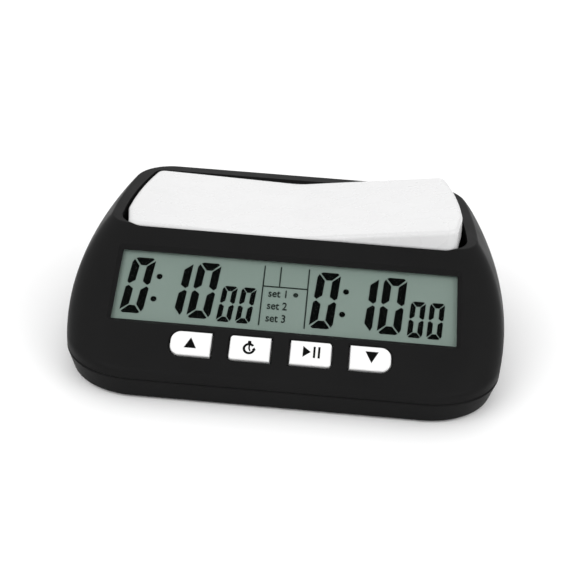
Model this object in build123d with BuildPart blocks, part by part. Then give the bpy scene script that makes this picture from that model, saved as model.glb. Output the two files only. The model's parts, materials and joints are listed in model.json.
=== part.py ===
from build123d import *
import os
from math import cos, radians, sin, sqrt, tan

# Chess clock: a black case with a sloping face, a long display, four keys and a white seesaw
# rocker on top. X runs to the right along the face, Y backwards, Z up. The origin is on the
# table, under the centre of the case. All sizes are in millimetres.

os.makedirs("parts", exist_ok=True)

# ---- Case ----
WALL = 2.2
FOOT_GAP = 0.8                  # height of the case's underside above the table
PARTING = 8.6                   # height where the two halves of the case meet
SHOULDER_RADIUS = 2.5           # soft edge between the upright skirt and the sloping face
RIM = 43.2                      # height of the rim around the rocker
RIM_EDGE = 1.0
CASE_FRONT = -58.3
CASE_REAR = 58.3
CASE_HALF_WIDTH = 80.0
SIDE_LEAN = 46.5                # radius of the side walls' upright arc, above the skirt
REAR_LEAN = 59.3                # radius of the rear wall's upright arc
BASE_DRAFT = 2.2                # how far the underside is drawn in
BASE_EDGE = 0.8
GROOVE = 0.5                    # bevel on both lips of the parting line
SKIRT_LEDGE = 0.2               # the skirt's wall is this much thicker
LIP_HEIGHT = 1.8
LIP_ROOT = 1.0
LIP_THICK = 1.0
LIP_GAP = 0.4
SECTION_COUNT = 5               # sections that each curved wall is lofted through

# The plan outline changes from the shoulder to the rim.
OUTLINE_MID = (0.2, 3.2)        # y of the widest place
OUTLINE_BOW = (176.0, 236.0)    # radius of the bowed sides
OUTLINE_FRONT_CORNER = (27.5, 9.0)
OUTLINE_REAR_CORNER = (32.0, 14.5)

# ---- Sloping face ----
FACE_SLOPE = 32.05              # degrees from level
FACE_FOOT = (0, -55.5, 14.0)    # a point on the face, where v is zero
SLOPE_SIN = sin(radians(FACE_SLOPE))
SLOPE_COS = cos(radians(FACE_SLOPE))
SLOPE_TAN = tan(radians(FACE_SLOPE))
SHOULDER_TANGENT = SHOULDER_RADIUS * tan(radians(90 - FACE_SLOPE) / 2)
SHOULDER_LOW = FACE_FOOT[2] + (CASE_FRONT - FACE_FOOT[1]) * SLOPE_TAN - SHOULDER_TANGENT
SHOULDER = SHOULDER_LOW + SHOULDER_TANGENT * (1 + SLOPE_SIN)

# ---- Display: v is measured up the slope, depth is measured down from the face ----
WINDOW_HALF = 59.5
WINDOW_V = (16.76, 44.66)
WINDOW_CORNER = 0.4
RECESS_CORNER = 1.2
RECESS_DEPTH = 1.5
RECESS_SPREAD = 1.7             # width of the recess's sloping frame
DISPLAY_V = sum(WINDOW_V) / 2
LENS_SIZE = (122.4, 30.0)
LENS_THICK = 1.2
LENS_GAP = 0.15
PANEL_SIZE = (123.6, 29.9)
PANEL_DEPTH = (2.95, 5.75)
HOLDER_SIZE = (126.4, 32.0)
HOLDER_INSIDE = (124.0, 30.2)
HOLDER_DEPTH = (2.3, 8.4)
WEB_DEPTH = (5.85, 6.85)
WEB_SIZE = (124.2, 24.4)
STRIP_SIZE = (116.0, 2.0)
STRIP_PITCH = 27.8

# ---- Keys ----
KEY_V = 8.65
KEY_SIZE = (13.85, 8.9)
KEY_X = (-30.5, -10.3, 10.3, 30.5)
KEY_NAMES = ("up", "timer", "play_pause", "down")
KEY_CORNER = 1.1
KEY_ROUND_END = 3.5
KEY_PROUD = 0.5
KEY_GAP = 0.35
KEY_FLANGE = 0.8
KEY_FLANGE_DEPTH = (2.5, 3.3)
KEY_EDGE = 0.6
PUCK_RADIUS = 2.5
PUCK_DEPTH = (3.3, 7.3)
MAT_SIZE = (80.0, 11.2)
MAT_CORNER = 1.5
MAT_DEPTH = (7.2, 8.4)
MAT_HOLE = 3.1

# ---- Main board ----
BOARD_DEPTH = (8.4, 9.8)
BOARD_V = (1.5, 45.6)
BOARD_HALF = 62.6
BOARD_EAR_HALF = 68.6
BOARD_EAR_V = (36.0, 44.0)
BOARD_CORNER_CUT = 4.0
BOARD_CORNER = 1.0              # rounded corners of the small boards and the contact tabs
BOARD_SCREWS = ((-56.0, 7.0), (56.0, 7.0), (-66.0, 40.0), (66.0, 40.0))
BOARD_BOSS_RADIUS = 2.4

# ---- Rocker and its well: the rocker is drawn level, about its pivot, and tipped ----
PIVOT_Z = 37.0
PIN_RADIUS = 1.5
PIN_FIT = 0.05                  # radial clearance in the rocker's lugs
PIN_Y = (-4.3, 39.8)
TIP = 3.2                       # degrees that the rocker leans to either side
VALLEY = 4.6                    # degrees that each half of the top rises outwards
CREASE_UP = 5.3                 # height of the crease above the pivot
CREASE_RADIUS = 40.0
ROCKER_FRONT = -8.9
ROCKER_REAR = 42.8
ROCKER_HALF = 61.6
ROCKER_TURN = 4.5               # y of the widest place, where the sides turn in to the front
ROCKER_SLANT = 11.0             # degrees that the sides slant inwards, in front of the turn
ROCKER_BOW = 152.0              # radius of the bowed sides, behind the turn
ROCKER_TURN_CORNER = 7.0
ROCKER_FRONT_CORNER = 4.0
ROCKER_REAR_CORNER = 3.5
ROCKER_SKIRT_UP = 1.3           # height of the skirt's edge above the pivot
ROCKER_TALL = 14.0              # more than the height of the raised ends
ROCKER_WALL = 1.8
ROCKER_TOP = 2.0
ROCKER_EDGE = 1.5
LUG_RADIUS = 3.3
LUG_Y = ((-4.5, -1.5), (37.0, 40.0))
LUG_TOP = 4.3
POST_RADIUS = 2.8
POST_Y = ((-1.0, 3.0), (32.5, 36.5))
PEG_RADIUS = 2.0
PEG_FOOT = -1.0
PEG_TOP = 5.5
SWITCH_X = 12.0
SWITCH_Y = 18.0
WELL_END_GAP = 0.7
WELL_HALF = 63.2
WELL_MID = 3.0
WELL_BOW = 155.0
WELL_FRONT_CORNER = 9.0
WELL_REAR_CORNER = 4.2
WELL_WALL = 1.6
WELL_FLOOR = (30.5, 32.5)
BUMPER_SIZE = (4.0, 24.0, 2.0)
BUMPER_CORNER = 1.0
BUMPER_X = 57.2

# ---- Switches under the rocker ----
SWITCH_BOARD_SIZE = (46.0, 24.0)
SWITCH_BOARD_Z = (24.5, 26.1)
SWITCH_BOARD_SCREW_X = 19.5
SWITCH_BODY_SIZE = 6.2
SWITCH_BODY_Z = (26.1, 29.8)
SWITCH_BORE = 2.1
SWITCH_BORE_FLOOR = 27.0
PLUNGER_RADIUS = 1.7
PLUNGER_FOOT = 27.4             # foot of the pressed plunger
PLUNGER_PLAY = 0.25             # gap to the rocker's peg
PLUNGER_HOLE = 2.1

# ---- Fasteners ----
CASE_SCREWS = ((-68.2, -31.5), (68.2, -31.5), (-62.0, 45.5), (62.0, 45.5))
CASE_SCREW_RADIUS = 1.3
CASE_SCREW_HEAD = (2.5, 1.9)
CASE_SCREW_SEAT = 4.8
CASE_SCREW_TIP = 19.0
CASE_PILOT_TOP = 20.0
UPPER_BOSS_RADIUS = 3.4
UPPER_BOSS_TOP = 29.0
BASE_BOSS_RADIUS = 4.2
SMALL_SCREW_RADIUS = 0.9
SMALL_SCREW_HEAD = (1.9, 1.3)
SMALL_SCREW_LENGTH = 6.0
SMALL_PILOT_DEPTH = 5.0
SCREW_PLAY = 0.02               # a screw's clearance in its own thread
SHANK_PLAY = 0.2                # a shank's clearance in a hole it passes through
HEAD_PLAY = 0.4                 # a head's clearance in its seat
CROSS_SLOT = (3.0, 0.5)
CROSS_DEPTH = 0.8
RIB_FOOT_GAP = 1.0              # height of a boss's rib above the lip

# ---- Small softened edges ----
FINE_BEVEL = 0.3
BODY_BEVEL = 0.4
SOFT_EDGE = 0.5
ROUND_EDGE = 0.6

# ---- Battery bay, along X in the base ----
BATTERY_Y = 21.5
BATTERY_Z = 11.0
BATTERY_RADIUS = 7.15
BATTERY_X = (-25.25, 24.25)
BATTERY_NUB = (2.7, 1.0)
BAY_X = (-29.5, 25.7)
BAY_SIDE_GAP = 0.6
BAY_WALL = 1.6
BAY_TOP = 14.0
CONTACT_THICK = 0.4
CONTACT_SIZE = (10.0, 12.5)
CONTACT_Z = 11.25
SPRING_WIRE = 0.4
SPRING_RADIUS = 3.2
SPRING_TURNS = 2.5
SPRING_SUNK = 0.8               # share of the wire's radius that stands clear of the tab
DOOR_HALF = 32.0
DOOR_FLARE = 1.4                # the door is wider at the top, so that it can't drop out
DOOR_Y = (10.5, 55.8)
DOOR_THICK = 2.0
DOOR_GAP = 0.3
DOOR_PAD_TOP = 5.0
GRIP_SIZE = (20.0, 1.4)
GRIP_DEPTH = 0.7
GRIP_COUNT = 3
GRIP_PITCH = 3.0
GRIP_INSET = 12.0
FLOOR_THICK = 2.0
FLOOR_TOP = FOOT_GAP + FLOOR_THICK

# ---- Underside ----
FEET = ((-52.0, -43.5), (52.0, -43.5), (-48.0, 44.5), (48.0, 44.5))
FOOT_RADIUS = 5.0
FOOT_HEIGHT = 1.6
FOOT_PLAY = 0.1
POWER_X = -38.0
POWER_Y = -22.0
POWER_RECESS = (16.0, 8.0)
POWER_RECESS_CORNER = 1.5
POWER_RECESS_TOP = 2.4
POWER_PAD = 2.0                 # how far the thickened floor reaches past the recess
POWER_SLOT = (7.4, 3.4)
POWER_BODY_SIZE = (13.0, 6.0)
POWER_BODY_Z = (4.2, 9.2)
POWER_TRAVEL = 3.0
KNOB_SIZE = (3.2, 2.6)
KNOB_FOOT = 1.1
KNOB_SUNK = 1.6
KNOB_PLAY = 0.4
BUZZER_X = 34.0
BUZZER_Y = -24.0
BUZZER_RADIUS = 12.0
BUZZER_SEAT = 4.6
BUZZER_THICK = 0.3
BUZZER_LEDGE = (10.5, 13.0)     # radii of the ring that carries the disc
CERAMIC_RADIUS = 8.4
SOUND_HOLE = 0.8
SOUND_RING = 4.0
SOUND_RING_COUNT = 6

# ---- Parts on the main board, as (x, v) ----
CHIP_AT = (24.0, 28.0)
CHIP_SIZE = (7.5, 1.6)
CHIP_ROUND = 1.4
CRYSTAL_AT = (41.0, 34.0)
CRYSTAL_SIZE = (8.0, 3.0, 3.0)
CAPACITORS_AT = ((-44.0, 12.0), (-36.0, 12.0), (8.0, 14.0))
CAPACITOR_SIZE = (2.5, 5.0)
POWER_SOCKET_AT = (-20.0, 30.0)
POWER_SOCKET_SIZE = (8.0, 6.0, 5.0)
RIBBON_SOCKET_AT = (0.0, 40.0)
RIBBON_SOCKET_SIZE = (12.0, 4.0, 3.0)

# ---- Leads ----
SWITCH_SOCKET_Y = 9.0
RIBBON_SIZE = (8.0, 0.9)
RIBBON_DROP = 9.0
RIBBON_SAG = 1.5
RIBBON_BEND = 3.5
LEAD_RADIUS = 0.7
LEAD_BEND = 4.5
LEAD_Z = 16.2
LEAD_APPROACH = 9.5
LEAD_SAG = 1.0
LEAD_CORNER = (0.95, 0.25)      # where a battery lead turns inwards, as shares of its tab's x and y
LEAD_TURN = 15.0
WIRE_RADIUS = 0.55
BUZZER_LEAD_PITCH = 10.0
POWER_LEAD_X = 2.5

face_plane = Plane(origin=FACE_FOOT, x_dir=(1, 0, 0), z_dir=(0, -SLOPE_SIN, SLOPE_COS))
tip = radians(TIP)
rocker_plane = Plane(origin=(0, 0, PIVOT_Z), x_dir=(cos(tip), 0, sin(tip)), z_dir=(-sin(tip), 0, cos(tip)))
section_plane = Plane(origin=(0, 0, PIVOT_Z), x_dir=(cos(tip), 0, sin(tip)), z_dir=(0, -1, 0))


def at_depth(depth):
    """The plane that lies this deep below the sloping face."""
    return face_plane.offset(-depth)


def finish(piece, name):
    """Label a finished piece and write it."""
    piece.label = name
    export_step(piece, f"parts/{name}.step")


def between(ends, height):
    """Value of an outline's measure at this height, from the shoulder to the rim."""
    share = min(max((height - SHOULDER) / (RIM - SHOULDER), 0), 1)
    return ends[0] + (ends[1] - ends[0]) * share


def lean(along, radius, start=SHOULDER_LOW):
    """How far an arched wall leans inwards at this place. It is straight up to its start."""
    rise = max(along - start, 0)
    return radius - sqrt(radius**2 - rise**2)


def heights(low, high):
    """Heights of the sections that a wall is lofted through."""
    return [low + (high - low) * i / (SECTION_COUNT - 1) for i in range(SECTION_COUNT)]


def bowed_outline(front, rear, half_width, mid, bow, front_corner, rear_corner):
    """A plan outline with straight front and rear, bowed sides and rounded corners."""
    front_half = half_width - bow + sqrt(bow**2 - (front - mid) ** 2)
    rear_half = half_width - bow + sqrt(bow**2 - (rear - mid) ** 2)
    with BuildSketch() as outline:
        with BuildLine():
            Line((-front_half, front), (front_half, front))
            ThreePointArc((front_half, front), (half_width, mid), (rear_half, rear))
            Line((rear_half, rear), (-rear_half, rear))
            ThreePointArc((-rear_half, rear), (-half_width, mid), (-front_half, front))
        make_face()
        fillet(outline.vertices().group_by(Axis.Y)[0], front_corner)
        fillet(outline.vertices().group_by(Axis.Y)[-1], rear_corner)
    return outline.sketch


def case_front(height):
    """Where the front of the case lies: upright skirt, soft shoulder, then the sloping face."""
    if height <= SHOULDER_LOW:
        return CASE_FRONT
    if height < SHOULDER:
        return CASE_FRONT + SHOULDER_RADIUS - sqrt(SHOULDER_RADIUS**2 - (height - SHOULDER_LOW) ** 2)
    return FACE_FOOT[1] + (height - FACE_FOOT[2]) / SLOPE_TAN


def case_outline(height, inset=0.0):
    """Plan outline of the case, drawn in by a wall's thickness."""
    front_inset = inset / SLOPE_SIN if height >= SHOULDER else inset
    return bowed_outline(
        case_front(height) + front_inset,
        CASE_REAR - lean(height, REAR_LEAN) - inset,
        CASE_HALF_WIDTH - lean(height, SIDE_LEAN) - inset,
        between(OUTLINE_MID, height),
        between(OUTLINE_BOW, height) - inset,
        between(OUTLINE_FRONT_CORNER, height) - inset,
        between(OUTLINE_REAR_CORNER, height) - inset,
    )


def rocker_outline(inset=0.0):
    """Plan outline of the rocker: bowed sides that turn in towards the front."""
    front = ROCKER_FRONT + inset
    rear = ROCKER_REAR - inset
    half = ROCKER_HALF - inset
    bow = ROCKER_BOW - inset
    middle = (ROCKER_TURN + rear) / 2
    front_half = half - (ROCKER_TURN - front) * tan(radians(ROCKER_SLANT))
    middle_half = half - lean(middle - ROCKER_TURN, bow, 0)
    rear_half = half - lean(rear - ROCKER_TURN, bow, 0)
    with BuildSketch() as outline:
        with BuildLine():
            Line((-front_half, front), (front_half, front))
            Line((front_half, front), (half, ROCKER_TURN))
            ThreePointArc((half, ROCKER_TURN), (middle_half, middle), (rear_half, rear))
            Line((rear_half, rear), (-rear_half, rear))
            ThreePointArc((-rear_half, rear), (-middle_half, middle), (-half, ROCKER_TURN))
            Line((-half, ROCKER_TURN), (-front_half, front))
        make_face()
        fillet(outline.vertices().group_by(Axis.Y)[1], ROCKER_TURN_CORNER - inset)
        fillet(outline.vertices().group_by(Axis.Y)[0], ROCKER_FRONT_CORNER - inset)
        fillet(outline.vertices().group_by(Axis.Y)[-1], ROCKER_REAR_CORNER - inset)
    return outline.sketch


def well_outline(grow=0.0):
    """Plan outline of the rocker's well, grown by a wall's thickness."""
    return bowed_outline(
        ROCKER_FRONT - WELL_END_GAP - grow,
        ROCKER_REAR + WELL_END_GAP + grow,
        WELL_HALF + grow,
        WELL_MID,
        WELL_BOW + grow,
        WELL_FRONT_CORNER + grow,
        WELL_REAR_CORNER + grow,
    )


def rocker_profile(crease_up):
    """The rocker seen from the front, about its pivot: two halves that rise from a soft crease."""
    reach = 2 * ROCKER_HALF
    end_up = crease_up + reach * tan(radians(VALLEY))
    with BuildSketch() as profile:
        with BuildLine():
            Polyline(
                (-reach, -ROCKER_TALL),
                (reach, -ROCKER_TALL),
                (reach, end_up),
                (0, crease_up),
                (-reach, end_up),
                close=True,
            )
        make_face()
        fillet(profile.vertices().sort_by_distance((0, crease_up))[0], CREASE_RADIUS)
    return profile.sketch


def faces_facing_up(piece):
    """The faces whose normals point nearly straight up."""
    return [face for face in piece.faces() if face.normal_at().Z > 0.9]


def key_outline(x_centre, grow=0.0):
    """A key's outline. The two outer keys have a rounded outer end."""
    outer = abs(x_centre) > min(abs(x) for x in KEY_X) + KEY_GAP
    width = KEY_SIZE[0] + 2 * grow
    height = KEY_SIZE[1] + 2 * grow
    with BuildSketch() as outline:
        Rectangle(width, height)
        left, right = outline.vertices().group_by(Axis.X)
        round_side, square_side = (left, right) if x_centre < 0 else (right, left)
        fillet(round_side, (KEY_ROUND_END if outer else KEY_CORNER) + grow)
        fillet(square_side, KEY_CORNER + grow)
    return outline.sketch


def cross_slot(plane, depth):
    """The cross cut in a screw's head."""
    with BuildPart() as cross:
        with BuildSketch(plane):
            Rectangle(*CROSS_SLOT)
            Rectangle(*CROSS_SLOT, rotation=90)
        extrude(amount=depth)
    return cross.part


def screw(plane, radius, length, head):
    """A screw whose shank runs along the plane's normal, from the underside of its head."""
    with BuildPart() as body:
        with BuildSketch(plane):
            Circle(radius)
        extrude(amount=length)
        chamfer(body.edges().sort_by_distance(plane.origin)[-1], radius / 2)
        with BuildSketch(plane):
            Circle(head[0])
        extrude(amount=-head[1])
        add(cross_slot(plane.offset(-head[1]), CROSS_DEPTH), mode=Mode.SUBTRACT)
    return body.part


def wire(points, bend, radius):
    """A round wire along straight runs joined by arcs."""
    with BuildPart() as body:
        with BuildLine() as route:
            FilletPolyline(*points, radius=bend)
        with BuildSketch(Plane(origin=route.line @ 0, z_dir=route.line % 0)):
            Circle(radius)
        sweep()
    return body.part


def wire_to_board(x, y, start, turn):
    """Points of a wire that rises from a height, bends and meets the main board squarely."""
    reach = (y - FACE_FOOT[1]) * SLOPE_SIN - (turn - FACE_FOOT[2]) * SLOPE_COS - BOARD_DEPTH[1]
    return [(x, y, start), (x, y, turn), (x, y - reach * SLOPE_SIN, turn + reach * SLOPE_COS)]


# ---------------------------------------------------------------- upper casing
with BuildPart() as upper_hollow:
    for height in heights(SHOULDER, RIM):
        with BuildSketch(Plane.XY.offset(height)):
            add(case_outline(height, WALL))
    loft()
    split(bisect_by=Plane.XY.offset(RIM - WALL), keep=Keep.BOTTOM)
    with BuildSketch(Plane.XY.offset(PARTING)):
        add(case_outline(PARTING, WALL + SKIRT_LEDGE))
    extrude(amount=SHOULDER - PARTING)
    with BuildSketch(Plane.XY.offset(WELL_FLOOR[0])):
        add(well_outline(WELL_WALL))
    extrude(amount=RIM - WELL_FLOOR[0], mode=Mode.SUBTRACT)
    with BuildSketch(Plane.XY.offset(PARTING)):
        with Locations(*CASE_SCREWS):
            Circle(UPPER_BOSS_RADIUS)
    extrude(amount=UPPER_BOSS_TOP - PARTING, mode=Mode.SUBTRACT)
    with BuildSketch(Plane.XY.offset(PARTING + LIP_HEIGHT + RIB_FOOT_GAP)):
        with Locations(*[(x, (y + CASE_REAR) / 2) for x, y in CASE_SCREWS if y > 0]):
            Rectangle(WALL, CASE_REAR - CASE_SCREWS[-1][1])
    extrude(amount=UPPER_BOSS_TOP - PARTING - LIP_HEIGHT - RIB_FOOT_GAP, mode=Mode.SUBTRACT)
    with BuildSketch(at_depth(0)):
        with Locations(*BOARD_SCREWS):
            Circle(BOARD_BOSS_RADIUS)
    extrude(amount=-BOARD_DEPTH[0], mode=Mode.SUBTRACT)
    with BuildSketch(Plane.XY.offset(WELL_FLOOR[0])):
        with Locations((-SWITCH_BOARD_SCREW_X, SWITCH_Y), (SWITCH_BOARD_SCREW_X, SWITCH_Y)):
            Circle(BOARD_BOSS_RADIUS)
    extrude(amount=SWITCH_BOARD_Z[1] - WELL_FLOOR[0], mode=Mode.SUBTRACT)

with BuildPart() as upper_casing:
    for height in heights(SHOULDER, RIM):
        with BuildSketch(Plane.XY.offset(height)):
            add(case_outline(height))
    loft()
    fillet(upper_casing.faces().sort_by(Axis.Z)[-1].outer_wire().edges(), RIM_EDGE)
    for height in heights(SHOULDER_LOW, SHOULDER):
        with BuildSketch(Plane.XY.offset(height)):
            add(case_outline(height))
    loft()
    with BuildSketch(Plane.XY.offset(PARTING + GROOVE)):
        add(case_outline(PARTING))
    extrude(amount=SHOULDER_LOW - PARTING - GROOVE)
    with BuildSketch(Plane.XY.offset(PARTING)):
        add(case_outline(PARTING, GROOVE))
    with BuildSketch(Plane.XY.offset(PARTING + GROOVE)):
        add(case_outline(PARTING))
    loft()
    add(upper_hollow.part, mode=Mode.SUBTRACT)

    # Rocker well, with its pivot posts
    with BuildSketch(Plane.XY.offset(WELL_FLOOR[1])):
        add(well_outline())
    extrude(amount=RIM - WELL_FLOOR[1], mode=Mode.SUBTRACT)
    for low, high in POST_Y:
        with BuildSketch(Plane.XZ.offset(-low)):
            with Locations((0, PIVOT_Z)):
                Circle(POST_RADIUS)
            with Locations((0, (PIVOT_Z + WELL_FLOOR[1]) / 2)):
                Rectangle(2 * POST_RADIUS, PIVOT_Z - WELL_FLOOR[1])
            with Locations((0, PIVOT_Z)):
                Circle(PIN_RADIUS + SCREW_PLAY, mode=Mode.SUBTRACT)
        extrude(amount=low - high)
    with BuildSketch(Plane.XY.offset(WELL_FLOOR[0])):
        with Locations((-SWITCH_X, SWITCH_Y), (SWITCH_X, SWITCH_Y)):
            Circle(PLUNGER_HOLE)
    extrude(amount=WELL_FLOOR[1] - WELL_FLOOR[0], mode=Mode.SUBTRACT)

    # Display opening: a sloping frame, then a seat for the window
    with BuildSketch(at_depth(RECESS_DEPTH)):
        with Locations((0, DISPLAY_V)):
            RectangleRounded(2 * WINDOW_HALF, WINDOW_V[1] - WINDOW_V[0], WINDOW_CORNER)
    with BuildSketch(at_depth(0)):
        with Locations((0, DISPLAY_V)):
            RectangleRounded(
                2 * (WINDOW_HALF + RECESS_SPREAD),
                WINDOW_V[1] - WINDOW_V[0] + 2 * RECESS_SPREAD,
                RECESS_CORNER,
            )
    loft(mode=Mode.SUBTRACT)
    with BuildSketch(at_depth(RECESS_DEPTH)):
        with Locations((0, DISPLAY_V)):
            RectangleRounded(LENS_SIZE[0] + 2 * LENS_GAP, LENS_SIZE[1] + 2 * LENS_GAP, WINDOW_CORNER)
    extrude(amount=-WALL, mode=Mode.SUBTRACT)

    # Seat of the display's holder
    with BuildSketch(at_depth(WALL)):
        with Locations((0, DISPLAY_V)):
            Rectangle(HOLDER_SIZE[0] + 2 * LENS_GAP, HOLDER_SIZE[1] + 2 * LENS_GAP)
    extrude(amount=WALL - HOLDER_DEPTH[1], mode=Mode.SUBTRACT)

    # Key openings with a softened edge
    for x in KEY_X:
        with BuildSketch(at_depth(-KEY_PROUD)):
            with Locations((x, KEY_V)):
                add(key_outline(x, KEY_GAP))
        extrude(amount=-KEY_PROUD - WALL - KEY_PROUD, mode=Mode.SUBTRACT)
        with BuildSketch(at_depth(KEY_EDGE)):
            with Locations((x, KEY_V)):
                add(key_outline(x, KEY_GAP))
        with BuildSketch(at_depth(0)):
            with Locations((x, KEY_V)):
                add(key_outline(x, KEY_GAP + KEY_EDGE))
        loft(mode=Mode.SUBTRACT)

    # Pilot holes
    with BuildSketch(Plane.XY.offset(PARTING)):
        with Locations(*CASE_SCREWS):
            Circle(CASE_SCREW_RADIUS + SCREW_PLAY)
    extrude(amount=CASE_PILOT_TOP - PARTING, mode=Mode.SUBTRACT)
    with BuildSketch(at_depth(BOARD_DEPTH[0])):
        with Locations(*BOARD_SCREWS):
            Circle(SMALL_SCREW_RADIUS + SCREW_PLAY)
    extrude(amount=SMALL_PILOT_DEPTH, mode=Mode.SUBTRACT)
    with BuildSketch(Plane.XY.offset(SWITCH_BOARD_Z[1])):
        with Locations((-SWITCH_BOARD_SCREW_X, SWITCH_Y), (SWITCH_BOARD_SCREW_X, SWITCH_Y)):
            Circle(SMALL_SCREW_RADIUS + SCREW_PLAY)
    extrude(amount=SMALL_PILOT_DEPTH, mode=Mode.SUBTRACT)
finish(upper_casing.part, "upper_casing")

# ---------------------------------------------------------------- base casing
door_pad_half = DOOR_HALF + DOOR_FLARE + DOOR_GAP + 2 * BAY_WALL
bay_half = BATTERY_RADIUS + BAY_SIDE_GAP
bay_middle = sum(BAY_X) / 2
bay_length = BAY_X[1] - BAY_X[0]

with BuildPart() as base_hollow:
    with BuildSketch(Plane.XY.offset(FLOOR_TOP)):
        add(case_outline(PARTING, WALL + BASE_DRAFT * (PARTING - FLOOR_TOP) / (PARTING - FOOT_GAP)))
    with BuildSketch(Plane.XY.offset(PARTING)):
        add(case_outline(PARTING, WALL))
    loft()
    with BuildSketch(Plane.XY.offset(FLOOR_TOP)):
        with Locations(*CASE_SCREWS):
            Circle(BASE_BOSS_RADIUS)
        with Locations((bay_middle, BATTERY_Y)):
            Rectangle(bay_length + 2 * BAY_WALL, 2 * (bay_half + BAY_WALL))
    extrude(amount=PARTING - FLOOR_TOP, mode=Mode.SUBTRACT)
    with BuildSketch(Plane.XY.offset(FLOOR_TOP)):
        with Locations((0, (DOOR_Y[0] - BAY_WALL + CASE_REAR) / 2)):
            Rectangle(2 * door_pad_half, CASE_REAR - DOOR_Y[0] + BAY_WALL)
    extrude(amount=DOOR_PAD_TOP - FLOOR_TOP, mode=Mode.SUBTRACT)
    with BuildSketch(Plane.XY.offset(FLOOR_TOP)):
        with Locations((POWER_X, POWER_Y)):
            Rectangle(POWER_RECESS[0] + 2 * POWER_PAD, POWER_RECESS[1] + 2 * POWER_PAD)
    extrude(amount=POWER_BODY_Z[0] - FLOOR_TOP, mode=Mode.SUBTRACT)
    with BuildSketch(Plane.XY.offset(FLOOR_TOP)):
        with Locations((BUZZER_X, BUZZER_Y)):
            Circle(BUZZER_LEDGE[1])
            Circle(BUZZER_LEDGE[0], mode=Mode.SUBTRACT)
    extrude(amount=BUZZER_SEAT - FLOOR_TOP, mode=Mode.SUBTRACT)

with BuildPart() as base_casing:
    with BuildSketch(Plane.XY.offset(FOOT_GAP)):
        add(case_outline(PARTING, BASE_DRAFT))
    with BuildSketch(Plane.XY.offset(PARTING - GROOVE)):
        add(case_outline(PARTING))
    loft()
    fillet(base_casing.faces().sort_by(Axis.Z)[0].outer_wire().edges(), BASE_EDGE)
    with BuildSketch(Plane.XY.offset(PARTING - GROOVE)):
        add(case_outline(PARTING))
    with BuildSketch(Plane.XY.offset(PARTING)):
        add(case_outline(PARTING, GROOVE))
    loft()
    add(base_hollow.part, mode=Mode.SUBTRACT)

    # Lip that stands inside the upper casing
    with BuildSketch(Plane.XY.offset(PARTING - LIP_ROOT)):
        add(case_outline(PARTING, WALL + LIP_GAP))
        add(case_outline(PARTING, WALL + LIP_GAP + LIP_THICK), mode=Mode.SUBTRACT)
    extrude(amount=LIP_HEIGHT + LIP_ROOT)

    # Battery bay and the way in through the floor
    with BuildSketch(Plane.XY.offset(PARTING)):
        with Locations((bay_middle, BATTERY_Y)):
            Rectangle(bay_length + 2 * BAY_WALL, 2 * (bay_half + BAY_WALL))
    extrude(amount=BAY_TOP - PARTING)
    with BuildSketch(Plane.XY.offset(FOOT_GAP)):
        with Locations((bay_middle, BATTERY_Y)):
            Rectangle(bay_length, 2 * bay_half)
    extrude(amount=BAY_TOP - FOOT_GAP, mode=Mode.SUBTRACT)

    # Track of the sliding door, open at the rear
    with BuildSketch(Plane.XZ.offset(-DOOR_Y[0] + DOOR_GAP)):
        with BuildLine():
            Polyline(
                (-DOOR_HALF - DOOR_GAP, FOOT_GAP),
                (DOOR_HALF + DOOR_GAP, FOOT_GAP),
                (DOOR_HALF + DOOR_FLARE + DOOR_GAP, FOOT_GAP + DOOR_THICK + DOOR_GAP),
                (-DOOR_HALF - DOOR_FLARE - DOOR_GAP, FOOT_GAP + DOOR_THICK + DOOR_GAP),
                close=True,
            )
        make_face()
    extrude(amount=DOOR_Y[0] - DOOR_GAP - CASE_REAR, mode=Mode.SUBTRACT)

    # Screw holes with seats for the heads
    with BuildSketch(Plane.XY.offset(FOOT_GAP)):
        with Locations(*CASE_SCREWS):
            Circle(CASE_SCREW_HEAD[0] + HEAD_PLAY)
    extrude(amount=CASE_SCREW_SEAT - FOOT_GAP, mode=Mode.SUBTRACT)
    with BuildSketch(Plane.XY.offset(CASE_SCREW_SEAT)):
        with Locations(*CASE_SCREWS):
            Circle(CASE_SCREW_RADIUS + SHANK_PLAY)
    extrude(amount=PARTING - CASE_SCREW_SEAT, mode=Mode.SUBTRACT)

    # Seats of the feet, recess and slot of the power switch, sound holes
    with BuildSketch(Plane.XY.offset(FOOT_GAP)):
        with Locations(*FEET):
            Circle(FOOT_RADIUS + FOOT_PLAY)
    extrude(amount=FOOT_HEIGHT - FOOT_GAP, mode=Mode.SUBTRACT)
    with BuildSketch(Plane.XY.offset(FOOT_GAP)):
        with Locations((POWER_X, POWER_Y)):
            RectangleRounded(*POWER_RECESS, POWER_RECESS_CORNER)
    extrude(amount=POWER_RECESS_TOP - FOOT_GAP, mode=Mode.SUBTRACT)
    with BuildSketch(Plane.XY.offset(FOOT_GAP)):
        with Locations((POWER_X, POWER_Y)):
            Rectangle(*POWER_SLOT)
        with Locations((BUZZER_X, BUZZER_Y)):
            Circle(SOUND_HOLE)
            with PolarLocations(SOUND_RING, SOUND_RING_COUNT):
                Circle(SOUND_HOLE)
    extrude(amount=POWER_BODY_Z[0] - FOOT_GAP, mode=Mode.SUBTRACT)
finish(base_casing.part, "base_casing")

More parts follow.
